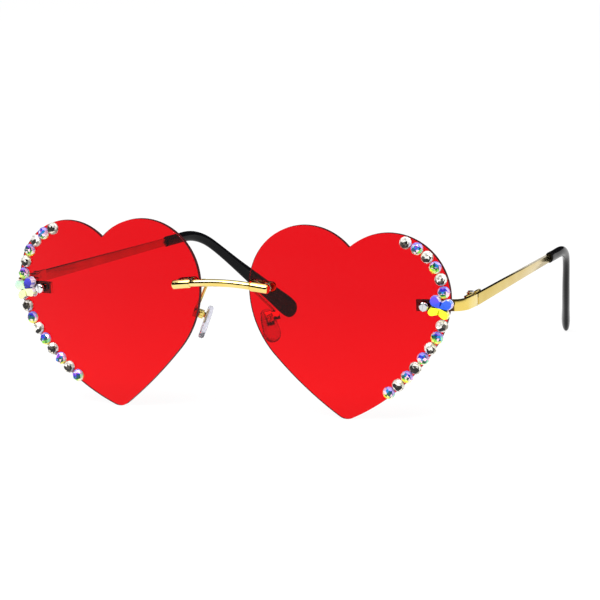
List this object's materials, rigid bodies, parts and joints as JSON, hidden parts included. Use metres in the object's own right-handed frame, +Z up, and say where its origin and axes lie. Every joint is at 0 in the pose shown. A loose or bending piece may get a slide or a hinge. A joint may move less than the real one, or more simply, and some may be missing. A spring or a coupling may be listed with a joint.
{
  "type": "heart shaped sunglasses",
  "caption": "Rimless sunglasses with red heart shaped lenses, gemstones along the outer rims, a gold bridge and folding gold temples with black ear tips.",
  "frame": {"origin": "middle of the nose gap, at half the height of the lenses, level with the front of the lenses at their nasal edges", "axes": "+X to the wearer's left, +Y back towards the ears, +Z up"},
  "size_m": [0.155, 0.1509, 0.0594],
  "materials": {
    "lens_red": "clear tinted polycarbonate, polished",
    "gold_polished": "gold plated, polished",
    "gold_satin": "pale gold plated, satin",
    "screw_steel": "polished",
    "tip_black": "gloss moulded",
    "pad_clear": "clear silicone",
    "bush_clear": "clear nylon",
    "stone_clear": "faceted, foil backed",
    "stone_iridescent": "faceted, rainbow coated, foil backed",
    "stone_butterfly": "faceted, rainbow coated, foil backed"
  },
  "bodies": {
    "front": {"bridge": "gold_polished", "lens_left": "lens_red", "lens_right": "lens_red", "clear_stones_left": "stone_clear", "clear_stones_right": "stone_clear", "iridescent_stones_left": "stone_iridescent", "iridescent_stones_right": "stone_iridescent", "butterfly_stone_left": "stone_butterfly", "butterfly_stone_right": "stone_butterfly", "bridge_bushes_left": "bush_clear", "bridge_bushes_right": "bush_clear", "bridge_washers_left": "bush_clear", "bridge_washers_right": "bush_clear", "bridge_nuts_left": "gold_satin", "bridge_nuts_right": "gold_satin", "clamp_plate_left": "gold_satin", "clamp_plate_right": "gold_satin", "pad_arm_left": "gold_satin", "pad_arm_right": "gold_satin", "pad_box_left": "gold_satin", "pad_box_right": "gold_satin", "pad_screw_left": "gold_satin", "pad_screw_right": "gold_satin", "end_piece_left": "gold_polished", "end_piece_right": "gold_polished", "lens_screw_left": "screw_steel", "lens_screw_right": "screw_steel", "lens_screw_bush_left": "bush_clear", "lens_screw_bush_right": "bush_clear", "lens_screw_washer_left": "bush_clear", "lens_screw_washer_right": "bush_clear", "lens_screw_nut_left": "gold_satin", "lens_screw_nut_right": "gold_satin", "hinge_front_leaf_left": "gold_satin", "hinge_front_leaf_right": "gold_satin", "hinge_screw_left": "screw_steel", "hinge_screw_right": "screw_steel"},
    "left_temple": {"temple_left": "gold_satin", "temple_tip_left": "tip_black", "hinge_temple_leaf_left": "gold_satin"},
    "right_temple": {"temple_right": "gold_satin", "temple_tip_right": "tip_black", "hinge_temple_leaf_right": "gold_satin"},
    "left_pad": {"nose_pad_left": "pad_clear", "pad_lug_left": "gold_satin"},
    "right_pad": {"nose_pad_right": "pad_clear", "pad_lug_right": "gold_satin"}
  },
  "joints": [
    {"name": "temple_fold_left", "type": "hinge", "parent": "front", "child": "left_temple", "pos_m": [0.075, 0.0168, 0.0061], "axis": [0, 0, 1], "range_deg": [0, 78]},
    {"name": "temple_fold_right", "type": "hinge", "parent": "front", "child": "right_temple", "pos_m": [-0.075, 0.0168, 0.0061], "axis": [0, 0, -1], "range_deg": [0, 84]},
    {"name": "nose_pad_rock_left", "type": "hinge", "parent": "front", "child": "left_pad", "pos_m": [0.0126, 0.0077, -0.0005], "axis": [-0.454, -0.891, 0], "range_deg": [-10, 10]},
    {"name": "nose_pad_rock_right", "type": "hinge", "parent": "front", "child": "right_pad", "pos_m": [-0.0126, 0.0077, -0.0005], "axis": [0.454, -0.891, 0], "range_deg": [-10, 10]}
  ]
}
